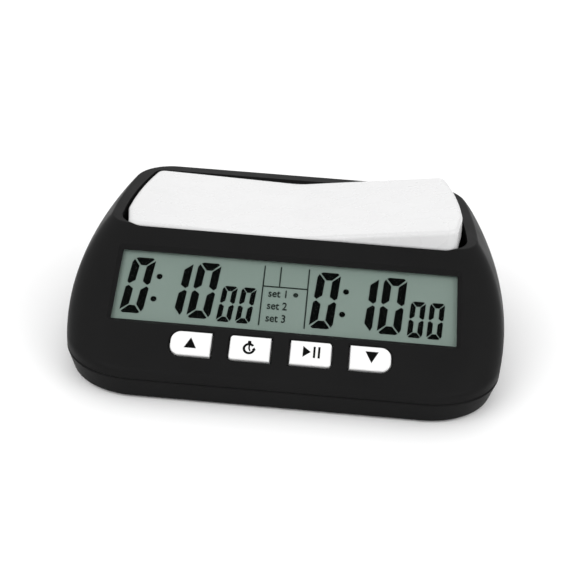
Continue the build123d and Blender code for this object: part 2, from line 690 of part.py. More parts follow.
# ---------------------------------------------------------------- battery door
with BuildPart() as battery_door:
    with BuildSketch(Plane.XZ.offset(-DOOR_Y[0])):
        with BuildLine():
            Polyline(
                (-DOOR_HALF, FOOT_GAP),
                (DOOR_HALF, FOOT_GAP),
                (DOOR_HALF + DOOR_FLARE, FOOT_GAP + DOOR_THICK),
                (-DOOR_HALF - DOOR_FLARE, FOOT_GAP + DOOR_THICK),
                close=True,
            )
        make_face()
    extrude(amount=DOOR_Y[0] - DOOR_Y[1])
    grips = [(0, DOOR_Y[1] - GRIP_INSET + GRIP_PITCH * i) for i in range(GRIP_COUNT)]
    with BuildSketch(Plane.XY.offset(FOOT_GAP)):
        with Locations(*grips):
            SlotOverall(*GRIP_SIZE)
    extrude(amount=GRIP_DEPTH, mode=Mode.SUBTRACT)
    fillet(battery_door.edges().filter_by(Axis.X).group_by(Axis.Y)[-1], ROUND_EDGE)
finish(battery_door.part, "battery_door")

# ---------------------------------------------------------------- rocker
with BuildPart() as rocker_hollow:
    with BuildSketch(rocker_plane.offset(ROCKER_SKIRT_UP)):
        add(rocker_outline(ROCKER_WALL))
    extrude(amount=ROCKER_TALL)
    with BuildSketch(section_plane):
        add(rocker_profile(CREASE_UP - ROCKER_TOP))
    extrude(amount=2 * ROCKER_REAR, both=True, mode=Mode.INTERSECT)

with BuildPart() as rocker:
    with BuildSketch(rocker_plane.offset(ROCKER_SKIRT_UP)):
        add(rocker_outline())
    extrude(amount=ROCKER_TALL)
    with BuildSketch(section_plane):
        add(rocker_profile(CREASE_UP))
    extrude(amount=2 * ROCKER_REAR, both=True, mode=Mode.INTERSECT)
    top_edges = [edge for face in faces_facing_up(rocker.part) for edge in face.edges()]
    rim_edges = [edge for edge in top_edges if sum(edge.is_same(other) for other in top_edges) == 1]
    fillet(rim_edges, ROCKER_EDGE)
    add(rocker_hollow.part, mode=Mode.SUBTRACT)

    # Lugs that turn on the pin
    for low, high in LUG_Y:
        with BuildSketch(section_plane.offset(-low)):
            Circle(LUG_RADIUS)
            with Locations((0, LUG_TOP / 2)):
                Rectangle(2 * LUG_RADIUS, LUG_TOP)
            Circle(PIN_RADIUS + PIN_FIT, mode=Mode.SUBTRACT)
        extrude(amount=low - high)

    # Pegs that press the switches
    with BuildSketch(rocker_plane.offset(PEG_FOOT)):
        with Locations((-SWITCH_X, SWITCH_Y), (SWITCH_X, SWITCH_Y)):
            Circle(PEG_RADIUS)
    extrude(amount=PEG_TOP - PEG_FOOT)
finish(rocker.part, "rocker")

with BuildPart() as rocker_pivot_pin:
    with BuildSketch(Plane.XZ.offset(-PIN_Y[0])):
        with Locations((0, PIVOT_Z)):
            Circle(PIN_RADIUS)
    extrude(amount=PIN_Y[0] - PIN_Y[1])
    chamfer(rocker_pivot_pin.edges().filter_by(GeomType.CIRCLE), FINE_BEVEL)
finish(rocker_pivot_pin.part, "rocker_pivot_pin")

with BuildPart() as rocker_bumpers:
    with BuildSketch(Plane.XY.offset(WELL_FLOOR[1])):
        with Locations((-BUMPER_X, SWITCH_Y), (BUMPER_X, SWITCH_Y)):
            RectangleRounded(BUMPER_SIZE[0], BUMPER_SIZE[1], BUMPER_CORNER)
    extrude(amount=BUMPER_SIZE[2])
    chamfer(rocker_bumpers.faces().group_by(Axis.Z)[-1].edges(), BODY_BEVEL)
finish(rocker_bumpers.part, "rocker_bumpers")

# ---------------------------------------------------------------- switches under the rocker
with BuildPart() as switch_board:
    with BuildSketch(Plane.XY.offset(SWITCH_BOARD_Z[0])):
        with Locations((0, SWITCH_Y)):
            RectangleRounded(*SWITCH_BOARD_SIZE, BOARD_CORNER)
        with Locations((-SWITCH_BOARD_SCREW_X, SWITCH_Y), (SWITCH_BOARD_SCREW_X, SWITCH_Y)):
            Circle(SMALL_SCREW_RADIUS + SHANK_PLAY, mode=Mode.SUBTRACT)
    extrude(amount=SWITCH_BOARD_Z[1] - SWITCH_BOARD_Z[0])
finish(switch_board.part, "switch_board")

peg_swing = SWITCH_X * radians(2 * TIP)
for side, x, rise in (("left", -SWITCH_X, 0), ("right", SWITCH_X, peg_swing)):
    with BuildPart() as switch_body:
        with BuildSketch(Plane.XY.offset(SWITCH_BODY_Z[0])):
            with Locations((x, SWITCH_Y)):
                Rectangle(SWITCH_BODY_SIZE, SWITCH_BODY_SIZE)
        extrude(amount=SWITCH_BODY_Z[1] - SWITCH_BODY_Z[0])
        chamfer(switch_body.edges().filter_by(Axis.Z), BODY_BEVEL)
        with BuildSketch(Plane.XY.offset(SWITCH_BORE_FLOOR)):
            with Locations((x, SWITCH_Y)):
                Circle(SWITCH_BORE)
        extrude(amount=SWITCH_BODY_Z[1] - SWITCH_BORE_FLOOR, mode=Mode.SUBTRACT)
    finish(switch_body.part, f"{side}_switch_body")
    pressed_top = PIVOT_Z + PEG_FOOT - SWITCH_X * sin(tip) - PLUNGER_PLAY
    with BuildPart() as plunger:
        with BuildSketch(Plane.XY.offset(PLUNGER_FOOT + rise)):
            with Locations((x, SWITCH_Y)):
                Circle(PLUNGER_RADIUS)
        extrude(amount=pressed_top - PLUNGER_FOOT)
        fillet(plunger.edges().group_by(Axis.Z)[-1], SOFT_EDGE)
    finish(plunger.part, f"{side}_switch_plunger")

with BuildPart() as switch_board_screws:
    for x in (-SWITCH_BOARD_SCREW_X, SWITCH_BOARD_SCREW_X):
        seat = Plane(origin=(x, SWITCH_Y, SWITCH_BOARD_Z[0]))
        add(screw(seat, SMALL_SCREW_RADIUS, SMALL_SCREW_LENGTH, SMALL_SCREW_HEAD))
finish(switch_board_screws.part, "switch_board_screws")

# ---------------------------------------------------------------- display
with BuildPart() as display_window:
    with BuildSketch(at_depth(RECESS_DEPTH)):
        with Locations((0, DISPLAY_V)):
            RectangleRounded(*LENS_SIZE, WINDOW_CORNER)
    extrude(amount=-LENS_THICK)
finish(display_window.part, "display_window")

with BuildPart() as lcd_panel:
    with BuildSketch(at_depth(PANEL_DEPTH[0])):
        with Locations((0, DISPLAY_V)):
            Rectangle(*PANEL_SIZE)
    extrude(amount=PANEL_DEPTH[0] - PANEL_DEPTH[1])
finish(lcd_panel.part, "lcd_panel")

with BuildPart() as lcd_holder:
    with BuildSketch(at_depth(HOLDER_DEPTH[0])):
        with Locations((0, DISPLAY_V)):
            Rectangle(*HOLDER_SIZE)
            Rectangle(*HOLDER_INSIDE, mode=Mode.SUBTRACT)
    extrude(amount=HOLDER_DEPTH[0] - HOLDER_DEPTH[1])
    with BuildSketch(at_depth(WEB_DEPTH[0])):
        with Locations((0, DISPLAY_V)):
            Rectangle(*WEB_SIZE)
    extrude(amount=WEB_DEPTH[0] - WEB_DEPTH[1])
finish(lcd_holder.part, "lcd_holder")

with BuildPart() as lcd_connector_strips:
    with BuildSketch(at_depth(PANEL_DEPTH[1])):
        with Locations((0, DISPLAY_V - STRIP_PITCH / 2), (0, DISPLAY_V + STRIP_PITCH / 2)):
            Rectangle(*STRIP_SIZE)
    extrude(amount=PANEL_DEPTH[1] - BOARD_DEPTH[0])
finish(lcd_connector_strips.part, "lcd_connector_strips")

# ---------------------------------------------------------------- keys
for name, x in zip(KEY_NAMES, KEY_X):
    with BuildPart() as key:
        with BuildSketch(at_depth(KEY_FLANGE_DEPTH[1])):
            with Locations((x, KEY_V)):
                add(key_outline(x))
        extrude(amount=KEY_FLANGE_DEPTH[1] + KEY_PROUD)
        fillet(key.faces().filter_by(lambda face: face.normal_at().Z > SLOPE_SIN).edges(), KEY_EDGE)
        with BuildSketch(at_depth(KEY_FLANGE_DEPTH[1])):
            with Locations((x, KEY_V)):
                add(key_outline(x, KEY_FLANGE))
        extrude(amount=KEY_FLANGE_DEPTH[1] - KEY_FLANGE_DEPTH[0])
    finish(key.part, f"button_{name}")
    with BuildPart() as puck:
        with BuildSketch(at_depth(PUCK_DEPTH[0])):
            with Locations((x, KEY_V)):
                Circle(PUCK_RADIUS)
        extrude(amount=PUCK_DEPTH[0] - PUCK_DEPTH[1])
    finish(puck.part, f"contact_puck_{name}")

with BuildPart() as keypad_mat:
    with BuildSketch(at_depth(MAT_DEPTH[0])):
        with Locations((0, KEY_V)):
            RectangleRounded(*MAT_SIZE, MAT_CORNER)
        with Locations(*[(x, KEY_V) for x in KEY_X]):
            Circle(MAT_HOLE, mode=Mode.SUBTRACT)
    extrude(amount=MAT_DEPTH[0] - MAT_DEPTH[1])
finish(keypad_mat.part, "keypad_mat")

# ---------------------------------------------------------------- main board
with BuildPart() as main_board:
    with BuildSketch(at_depth(BOARD_DEPTH[0])) as outline:
        with Locations((0, sum(BOARD_V) / 2)):
            Rectangle(2 * BOARD_HALF, BOARD_V[1] - BOARD_V[0])
        chamfer(outline.vertices().group_by(Axis.Y)[0], BOARD_CORNER_CUT)
        with Locations((0, sum(BOARD_EAR_V) / 2)):
            Rectangle(2 * BOARD_EAR_HALF, BOARD_EAR_V[1] - BOARD_EAR_V[0])
        with Locations(*BOARD_SCREWS):
            Circle(SMALL_SCREW_RADIUS + SHANK_PLAY, mode=Mode.SUBTRACT)
    extrude(amount=BOARD_DEPTH[0] - BOARD_DEPTH[1])
finish(main_board.part, "main_board")

with BuildPart() as main_board_screws:
    for x, v in BOARD_SCREWS:
        seat = Plane(
            origin=at_depth(BOARD_DEPTH[1]).from_local_coords((x, v, 0)),
            x_dir=face_plane.x_dir,
            z_dir=face_plane.z_dir,
        )
        add(screw(seat, SMALL_SCREW_RADIUS, SMALL_SCREW_LENGTH, SMALL_SCREW_HEAD))
finish(main_board_screws.part, "main_board_screws")

with BuildPart() as controller_chip:
    with BuildSketch(at_depth(BOARD_DEPTH[1])):
        with Locations(CHIP_AT):
            Circle(CHIP_SIZE[0])
    extrude(amount=-CHIP_SIZE[1])
    fillet(controller_chip.edges().filter_by(GeomType.CIRCLE).sort_by(Axis.Z)[0], CHIP_ROUND)
finish(controller_chip.part, "controller_chip")

with BuildPart() as timing_crystal:
    with BuildSketch(at_depth(BOARD_DEPTH[1])):
        with Locations(CRYSTAL_AT):
            SlotOverall(*CRYSTAL_SIZE[:2])
    extrude(amount=-CRYSTAL_SIZE[2])
    fillet(timing_crystal.faces().sort_by(Axis.Z)[0].edges(), SOFT_EDGE)
finish(timing_crystal.part, "timing_crystal")

with BuildPart() as board_capacitors:
    with BuildSketch(at_depth(BOARD_DEPTH[1])):
        with Locations(*CAPACITORS_AT):
            Circle(CAPACITOR_SIZE[0])
    extrude(amount=-CAPACITOR_SIZE[1])
    chamfer(board_capacitors.edges().filter_by(GeomType.CIRCLE), FINE_BEVEL)
finish(board_capacitors.part, "board_capacitors")

with BuildPart() as board_connectors:
    for place, size in ((POWER_SOCKET_AT, POWER_SOCKET_SIZE), (RIBBON_SOCKET_AT, RIBBON_SOCKET_SIZE)):
        with BuildSketch(at_depth(BOARD_DEPTH[1])):
            with Locations(place):
                Rectangle(*size[:2])
        extrude(amount=-size[2])
    with BuildSketch(Plane.XY.offset(SWITCH_BOARD_Z[0])):
        with Locations((0, SWITCH_SOCKET_Y)):
            Rectangle(*RIBBON_SOCKET_SIZE[:2])
    extrude(amount=-RIBBON_SOCKET_SIZE[2])
finish(board_connectors.part, "board_connectors")

ribbon_start = at_depth(BOARD_DEPTH[1] + RIBBON_SOCKET_SIZE[2]).from_local_coords((*RIBBON_SOCKET_AT, 0))
ribbon_end = Vector(0, SWITCH_SOCKET_Y, SWITCH_BOARD_Z[0] - RIBBON_SOCKET_SIZE[2])
ribbon_drop = ribbon_start - face_plane.z_dir * RIBBON_DROP
with BuildPart() as switch_ribbon:
    with BuildLine() as route:
        FilletPolyline(
            ribbon_start,
            ribbon_drop,
            (0, SWITCH_SOCKET_Y, ribbon_drop.Z - RIBBON_SAG),
            ribbon_end,
            radius=RIBBON_BEND,
        )
    with BuildSketch(Plane(origin=route.line @ 0, x_dir=(1, 0, 0), z_dir=route.line % 0)):
        Rectangle(*RIBBON_SIZE)
    sweep()
finish(switch_ribbon.part, "switch_ribbon")

# ---------------------------------------------------------------- battery and its contacts
with BuildPart() as battery:
    with BuildSketch(Plane.YZ.offset(BATTERY_X[0])):
        with Locations((BATTERY_Y, BATTERY_Z)):
            Circle(BATTERY_RADIUS)
    extrude(amount=BATTERY_X[1] - BATTERY_X[0])
    fillet(battery.edges().filter_by(GeomType.CIRCLE), ROUND_EDGE)
    with BuildSketch(Plane.YZ.offset(BATTERY_X[1])):
        with Locations((BATTERY_Y, BATTERY_Z)):
            Circle(BATTERY_NUB[0])
    extrude(amount=BATTERY_NUB[1])
    fillet(battery.edges().group_by(Axis.X)[-1], FINE_BEVEL)
finish(battery.part, "battery")

with BuildPart() as battery_contact_positive:
    with BuildSketch(Plane.YZ.offset(BAY_X[1] - CONTACT_THICK)):
        with Locations((BATTERY_Y, CONTACT_Z)):
            RectangleRounded(*CONTACT_SIZE, BOARD_CORNER)
    extrude(amount=CONTACT_THICK)
finish(battery_contact_positive.part, "battery_contact_positive")

spring_start = BAY_X[0] + CONTACT_THICK + SPRING_SUNK * SPRING_WIRE
spring_length = BATTERY_X[0] - SPRING_WIRE - spring_start
with BuildPart() as battery_contact_negative:
    with BuildSketch(Plane.YZ.offset(BAY_X[0])):
        with Locations((BATTERY_Y, CONTACT_Z)):
            RectangleRounded(*CONTACT_SIZE, BOARD_CORNER)
    extrude(amount=CONTACT_THICK)
    with BuildLine() as coil:
        Helix(
            spring_length / SPRING_TURNS,
            spring_length,
            SPRING_RADIUS,
            center=(spring_start, BATTERY_Y, BATTERY_Z),
            direction=(1, 0, 0),
        )
    with BuildSketch(Plane(origin=coil.line @ 0, z_dir=coil.line % 0)):
        Circle(SPRING_WIRE)
    sweep(is_frenet=True)
finish(battery_contact_negative.part, "battery_contact_negative")

tab_y = BATTERY_Y - CONTACT_SIZE[0] / 2
socket = at_depth(BOARD_DEPTH[1] + POWER_SOCKET_SIZE[2])
lead_ends = {"black": (BAY_X[0] + CONTACT_THICK / 2, -1), "red": (BAY_X[1] - CONTACT_THICK / 2, 1)}
for colour, (tab_x, side) in lead_ends.items():
    entry = socket.from_local_coords((POWER_SOCKET_AT[0] + side, POWER_SOCKET_AT[1], 0))
    approach = entry - face_plane.z_dir * LEAD_APPROACH
    corner = (tab_x * LEAD_CORNER[0], tab_y * LEAD_CORNER[1], LEAD_Z - LEAD_SAG)
    lead = wire(
        [(tab_x, tab_y, LEAD_Z), corner, approach, entry],
        LEAD_BEND,
        LEAD_RADIUS,
    )
    finish(lead, f"battery_lead_{colour}")

# ---------------------------------------------------------------- buzzer and power switch
with BuildPart() as buzzer_disc:
    with BuildSketch(Plane.XY.offset(BUZZER_SEAT)):
        with Locations((BUZZER_X, BUZZER_Y)):
            Circle(BUZZER_RADIUS)
    extrude(amount=BUZZER_THICK)
finish(buzzer_disc.part, "buzzer_disc")

with BuildPart() as buzzer_ceramic:
    with BuildSketch(Plane.XY.offset(BUZZER_SEAT + BUZZER_THICK)):
        with Locations((BUZZER_X, BUZZER_Y)):
            Circle(CERAMIC_RADIUS)
    extrude(amount=BUZZER_THICK)
finish(buzzer_ceramic.part, "buzzer_ceramic")

with BuildPart() as buzzer_leads:
    ceramic_top = BUZZER_SEAT + 2 * BUZZER_THICK
    disc_top = BUZZER_SEAT + BUZZER_THICK
    add(wire(wire_to_board(BUZZER_X, BUZZER_Y, ceramic_top, LEAD_TURN), LEAD_BEND, WIRE_RADIUS))
    disc_x = BUZZER_X + BUZZER_LEAD_PITCH
    add(wire(wire_to_board(disc_x, BUZZER_Y, disc_top, LEAD_TURN), LEAD_BEND, WIRE_RADIUS))
finish(buzzer_leads.part, "buzzer_leads")

with BuildPart() as power_switch_body:
    with BuildSketch(Plane.XY.offset(POWER_BODY_Z[0])):
        with Locations((POWER_X, POWER_Y)):
            Rectangle(*POWER_BODY_SIZE)
    extrude(amount=POWER_BODY_Z[1] - POWER_BODY_Z[0])
    with BuildSketch(Plane.XY.offset(POWER_BODY_Z[0])):
        with Locations((POWER_X, POWER_Y)):
            Rectangle(*POWER_SLOT)
    extrude(amount=KNOB_SUNK + KNOB_PLAY, mode=Mode.SUBTRACT)
    chamfer(power_switch_body.faces().sort_by(Axis.Z)[-1].edges(), BODY_BEVEL)
finish(power_switch_body.part, "power_switch_body")

with BuildPart() as power_switch_knob:
    with BuildSketch(Plane.XY.offset(KNOB_FOOT)):
        with Locations((POWER_X - POWER_TRAVEL / 2, POWER_Y)):
            Rectangle(*KNOB_SIZE)
    extrude(amount=POWER_BODY_Z[0] + KNOB_SUNK - KNOB_FOOT)
    fillet(power_switch_knob.faces().sort_by(Axis.Z)[0].edges(), FINE_BEVEL)
finish(power_switch_knob.part, "power_switch_knob")

with BuildPart() as power_switch_leads:
    for x in (POWER_X - POWER_LEAD_X, POWER_X + POWER_LEAD_X):
        add(wire(wire_to_board(x, POWER_Y, POWER_BODY_Z[1], LEAD_TURN), LEAD_BEND, WIRE_RADIUS))
finish(power_switch_leads.part, "power_switch_leads")

# ---------------------------------------------------------------- case screws and feet
with BuildPart() as case_screws:
    for x, y in CASE_SCREWS:
        seat = Plane(origin=(x, y, CASE_SCREW_SEAT))
        add(screw(seat, CASE_SCREW_RADIUS, CASE_SCREW_TIP - CASE_SCREW_SEAT, CASE_SCREW_HEAD))
finish(case_screws.part, "case_screws")

with BuildPart() as rubber_feet:
    with BuildSketch():
        with Locations(*FEET):
            Circle(FOOT_RADIUS)
    extrude(amount=FOOT_HEIGHT)
    chamfer(rubber_feet.edges().group_by(Axis.Z)[0], FINE_BEVEL)
finish(rubber_feet.part, "rubber_feet")
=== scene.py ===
"""Looks of a two-player digital chess clock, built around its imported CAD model.

Lengths are in metres, in the model's frame: X to the right along the front, Y backwards, Z up.
Outlines of printed shapes are in millimetres on the face they are printed on.
"""
import json
from math import cos, radians, sin, tau

import bmesh
import bpy
from mathutils import Matrix, Vector


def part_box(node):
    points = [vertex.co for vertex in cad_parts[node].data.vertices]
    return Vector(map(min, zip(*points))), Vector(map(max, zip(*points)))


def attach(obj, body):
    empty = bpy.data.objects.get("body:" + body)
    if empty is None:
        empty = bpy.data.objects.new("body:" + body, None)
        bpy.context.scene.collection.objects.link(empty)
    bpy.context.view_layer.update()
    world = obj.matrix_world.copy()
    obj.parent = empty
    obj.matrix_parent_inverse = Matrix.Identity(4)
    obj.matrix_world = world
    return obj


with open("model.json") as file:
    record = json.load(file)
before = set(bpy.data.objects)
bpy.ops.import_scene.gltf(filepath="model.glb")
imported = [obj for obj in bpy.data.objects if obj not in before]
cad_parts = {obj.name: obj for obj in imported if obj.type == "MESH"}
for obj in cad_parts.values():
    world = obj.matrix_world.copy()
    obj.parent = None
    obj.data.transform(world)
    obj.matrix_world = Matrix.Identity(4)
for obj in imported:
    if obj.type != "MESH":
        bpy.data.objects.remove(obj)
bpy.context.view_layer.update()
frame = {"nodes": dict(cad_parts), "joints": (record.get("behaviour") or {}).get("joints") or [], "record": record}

MM = 0.001

# ---- camera, about a point in the middle of the clock ----
CAMERA_AZIMUTH = radians(2.499)
CAMERA_ELEVATION = radians(28.0)
CAMERA_ROLL = radians(3.578)
CAMERA_DISTANCE = 0.3932
CAMERA_TARGET = Vector((0.0, -0.01881, 0.02731))
CAMERA_NEAR = 0.01
SENSOR_WIDTH = 36.0
LENS = 68.75

# ---- stage ----
FLOOR_SIZE = 6.0
HORIZON_GLOW = 0.96
ZENITH_GLOW = 0.88
GLOW_FROM = 0.30
GLOW_TO = 0.85
LIGHTS_AIM = Vector((0.0, 0.0, 0.02))
LIGHTS = {
    # name: (place, width, power)
    "key_light": ((-0.75, -0.75, 0.85), 0.8, 5.0),
    "fill_light": ((0.95, -0.55, 0.75), 0.8, 3.6),
    "back_light": ((0.10, 1.20, 0.90), 0.9, 2.6),
}


# ---------------------------------------------------------------- camera
def add_camera():
    """A camera that looks at the target from in front, above and a little to the right."""
    forward = Vector((
        -sin(CAMERA_AZIMUTH) * cos(CAMERA_ELEVATION),
        cos(CAMERA_AZIMUTH) * cos(CAMERA_ELEVATION),
        -sin(CAMERA_ELEVATION),
    ))
    level = Vector((cos(CAMERA_AZIMUTH), sin(CAMERA_AZIMUTH), 0))
    upright = level.cross(forward)
    right = cos(CAMERA_ROLL) * level + sin(CAMERA_ROLL) * upright
    up = cos(CAMERA_ROLL) * upright - sin(CAMERA_ROLL) * level
    data = bpy.data.cameras.new("camera")
    data.sensor_width = SENSOR_WIDTH
    data.lens = LENS
    data.clip_start = CAMERA_NEAR
    camera = bpy.data.objects.new("camera", data)
    bpy.context.scene.collection.objects.link(camera)
    turn = Matrix((right, up, -forward)).transposed().to_4x4()
    camera.matrix_world = Matrix.Translation(CAMERA_TARGET - CAMERA_DISTANCE * forward) @ turn
    bpy.context.scene.camera = camera


add_camera()


# ---------------------------------------------------------------- material building blocks
def node(tree, kind, inputs=None, **settings):
    """Add a node. Its inputs are values, or the sockets that feed them."""
    made = tree.nodes.new(kind)
    for name, value in settings.items():
        setattr(made, name, value)
    for name, value in (inputs or {}).items():
        if isinstance(value, bpy.types.NodeSocket):
            tree.links.new(value, made.inputs[name])
        else:
            made.inputs[name].default_value = value
    return made


def new_material(name, **sockets):
    """A new material, its node tree and its shader, with these plain values on the shader."""
    made = bpy.data.materials.new(name)
    made.use_nodes = True
    shader = made.node_tree.nodes["Principled BSDF"]
    for socket, value in sockets.items():
        shader.inputs[socket.replace("_", " ")].default_value = value
    return made, made.node_tree, shader


def place(tree, stretch=(1, 1, 1)):
    """The point on the surface in metres, each axis multiplied by its stretch."""
    where = node(tree, "ShaderNodeTexCoord").outputs["Object"]
    return node(tree, "ShaderNodeMapping", {"Vector": where, "Scale": stretch}).outputs["Vector"]


def noise(tree, size, detail=2.0, stretch=(1, 1, 1)):
    """Cloudy noise with lumps of this size."""
    made = node(tree, "ShaderNodeTexNoise",
                {"Vector": place(tree, stretch), "Scale": 1 / size, "Detail": detail})
    return made.outputs["Fac"]


def ranged(tree, value, low, high, start=0.3, end=0.7):
    """Map a value between start and end onto low to high."""
    return node(tree, "ShaderNodeMapRange", {
        "Value": value, "From Min": start, "From Max": end, "To Min": low, "To Max": high,
    }).outputs["Result"]


def blended(tree, share, first, second):
    """Blend two colours, each a plain colour or a socket."""
    made = node(tree, "ShaderNodeMix", data_type="RGBA")
    factor, a, b = made.inputs[0], made.inputs[6], made.inputs[7]
    tree.links.new(share, factor)
    for socket, colour in ((a, first), (b, second)):
        if isinstance(colour, bpy.types.NodeSocket):
            tree.links.new(colour, socket)
        else:
            socket.default_value = (*colour, 1)
    return made.outputs[2]


def calculated(tree, operation, first, second):
    """One Math node."""
    return node(tree, "ShaderNodeMath", {0: first, 1: second}, operation=operation).outputs["Value"]


# Cosine of the angle between the rounded and the flat normal, where an edge begins and where it is full.
EDGE_BEGINS = 0.985
EDGE_FULL = 0.80
BEVEL_SAMPLES = 6


def rounded_edges(tree, radius):
    """A normal that rounds sharp edges off, and a mask that is 1 on those edges."""
    soft = node(tree, "ShaderNodeBevel", {"Radius": radius}, samples=BEVEL_SAMPLES).outputs["Normal"]
    flat = node(tree, "ShaderNodeNewGeometry").outputs["Normal"]
    same = node(tree, "ShaderNodeVectorMath", {0: soft, 1: flat}, operation="DOT_PRODUCT")
    return soft, ranged(tree, same.outputs["Value"], 0, 1, EDGE_BEGINS, EDGE_FULL)


def bumped(tree, shader, height, strength, depth, normal=None):
    """Feed the shader's normal from a height, over a normal of its own if one is given."""
    inputs = {"Height": height, "Strength": strength, "Distance": depth}
    if normal:
        inputs["Normal"] = normal
    made = node(tree, "ShaderNodeBump", inputs)
    tree.links.new(made.outputs["Normal"], shader.inputs["Normal"])


# ---------------------------------------------------------------- materials
# Sizes of the lumps of noise, in metres.
COLOUR_DRIFT = 0.018
GLOSS_DRIFT = 0.009
DRAWING_MARKS = 0.0003
METAL_STAINS = 0.004

COPPER_CELLS = 300.0            # board's cells between tracks, per metre
WINDOW_IOR = 1.09
BAND_STARTS = 0.72              # share of the battery's length before its copper-coloured band
WIRE_PITCH = 0.00127


def moulded(name, dark, light, rough, grain, relief, edge=0.00015, edge_highlight=None, **sockets):
    """Moulded plastic or rubber.

    Its colour drifts between dark and light, its roughness over a range, and its skin has a grain of
    this size and relief. Sharp edges are rounded, have a smoother skin, and are painted lighter as a
    highlight, in the given edge highlight colour or else the light colour.
    """
    made, tree, shader = new_material(name, **sockets)
    soft, edges = rounded_edges(tree, edge)
    cloud = blended(tree, noise(tree, COLOUR_DRIFT, 3), dark, light)
    fine = blended(tree, ranged(tree, noise(tree, grain, 1), 0, 0.35), cloud, light)
    # Painted highlight: sharp edges take a lighter colour than the rest of the surface.
    tree.links.new(blended(tree, edges, fine, edge_highlight or light), shader.inputs["Base Color"])
    gloss = ranged(tree, noise(tree, GLOSS_DRIFT, 4), *rough)
    smoother = calculated(tree, "MULTIPLY", edges, 0.25 * rough[0])
    tree.links.new(calculated(tree, "SUBTRACT", gloss, smoother), shader.inputs["Roughness"])
    bumped(tree, shader, noise(tree, grain, 2), relief, 0.4 * grain, soft)
    return made


def drawn_metal(name, dark, light, rough, stretch):
    """Bare metal with fine drawing marks, longest along the axis with the smallest stretch."""
    made, tree, shader = new_material(name, Metallic=1.0)
    soft, edges = rounded_edges(tree, 0.00008)
    marks = noise(tree, DRAWING_MARKS, 3, stretch)
    stained = blended(tree, noise(tree, METAL_STAINS, 3), dark, light)
    streaked = blended(tree, ranged(tree, marks, 0, 0.6), stained, light)
    # Painted highlight: sharp edges take the light colour.
    tree.links.new(blended(tree, edges, streaked, light), shader.inputs["Base Color"])
    tree.links.new(ranged(tree, marks, *rough), shader.inputs["Roughness"])
    bumped(tree, shader, marks, 0.2, 0.00003, soft)
    return made


def board_laminate(name):
    """Green solder mask, raised where copper tracks run under it."""
    made, tree, shader = new_material(name)
    cells = node(tree, "ShaderNodeTexVoronoi", {"Vector": place(tree), "Scale": COPPER_CELLS},
                 feature="DISTANCE_TO_EDGE")
    track = ranged(tree, cells.outputs["Distance"], 1, 0, 0.05, 0.07)
    tree.links.new(blended(tree, track, (0.006, 0.060, 0.022), (0.014, 0.130, 0.045)),
                   shader.inputs["Base Color"])
    tree.links.new(ranged(tree, noise(tree, 0.003), 0.22, 0.36), shader.inputs["Roughness"])
    bumped(tree, shader, track, 0.5, 0.00004)
    return made


def clear_plastic(name):
    """Thin clear plastic, which light passes straight through and which mirrors a little at its front."""
    made = bpy.data.materials.new(name)
    made.use_nodes = True
    tree = made.node_tree
    tree.nodes.remove(tree.nodes["Principled BSDF"])
    through = node(tree, "ShaderNodeBsdfTransparent", {"Color": (0.985, 0.990, 0.987, 1)})
    haze = ranged(tree, noise(tree, 0.012, 3), 0.04, 0.08)
    ripple = node(tree, "ShaderNodeBump",
                  {"Height": noise(tree, 0.02), "Strength": 0.05, "Distance": 0.0005})
    mirror = node(tree, "ShaderNodeBsdfGlossy", {"Roughness": haze, "Normal": ripple.outputs["Normal"]})
    fresnel = node(tree, "ShaderNodeFresnel", {"IOR": WINDOW_IOR}).outputs["Fac"]
    back = node(tree, "ShaderNodeNewGeometry").outputs["Backfacing"]
    share = calculated(tree, "MULTIPLY", fresnel, calculated(tree, "SUBTRACT", 1.0, back))
    both = node(tree, "ShaderNodeMixShader",
                {0: share, 1: through.outputs["BSDF"], 2: mirror.outputs["BSDF"]})
    tree.links.new(both.outputs["Shader"], tree.nodes["Material Output"].inputs["Surface"])
    return made


def reflector(name):
    """Grey-green back reflector of the display, finely speckled."""
    made, tree, shader = new_material(name, Specular_IOR_Level=0.25)
    fine = noise(tree, 0.00022, 1)
    broad = noise(tree, 0.03, 2)
    green = blended(tree, ranged(tree, broad, 0, 1), (0.170, 0.221, 0.196), (0.180, 0.229, 0.205))
    tree.links.new(blended(tree, ranged(tree, fine, 0, 0.3), green, (0.193, 0.243, 0.216)),
                   shader.inputs["Base Color"])
    tree.links.new(ranged(tree, broad, 0.48, 0.58), shader.inputs["Roughness"])
    bumped(tree, shader, fine, 0.06, 0.00002)
    return made


def battery_wrap(name):
    """Printed shrink sleeve: dark along most of the cell, with a copper-coloured band at its far end."""
    made, tree, shader = new_material(name, Coat_Weight=0.4, Coat_Roughness=0.1)
    low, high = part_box("battery")
    band = low.x + BAND_STARTS * (high.x - low.x)
    along = node(tree, "ShaderNodeSeparateXYZ", {"Vector": place(tree)}).outputs["X"]
    copper = calculated(tree, "GREATER_THAN", along, band)
    grime = noise(tree, 0.004, 4)
    dark = blended(tree, grime, (0.010, 0.011, 0.013), (0.020, 0.021, 0.024))
    bright = blended(tree, grime, (0.42, 0.17, 0.06), (0.55, 0.24, 0.09))
    tree.links.new(blended(tree, copper, dark, bright), shader.inputs["Base Color"])
    tree.links.new(calculated(tree, "MULTIPLY", copper, 0.85), shader.inputs["Metallic"])
    tree.links.new(ranged(tree, grime, 0.28, 0.40), shader.inputs["Roughness"])
    bumped(tree, shader, noise(tree, 0.0008, 2), 0.15, 0.00005)
    return made


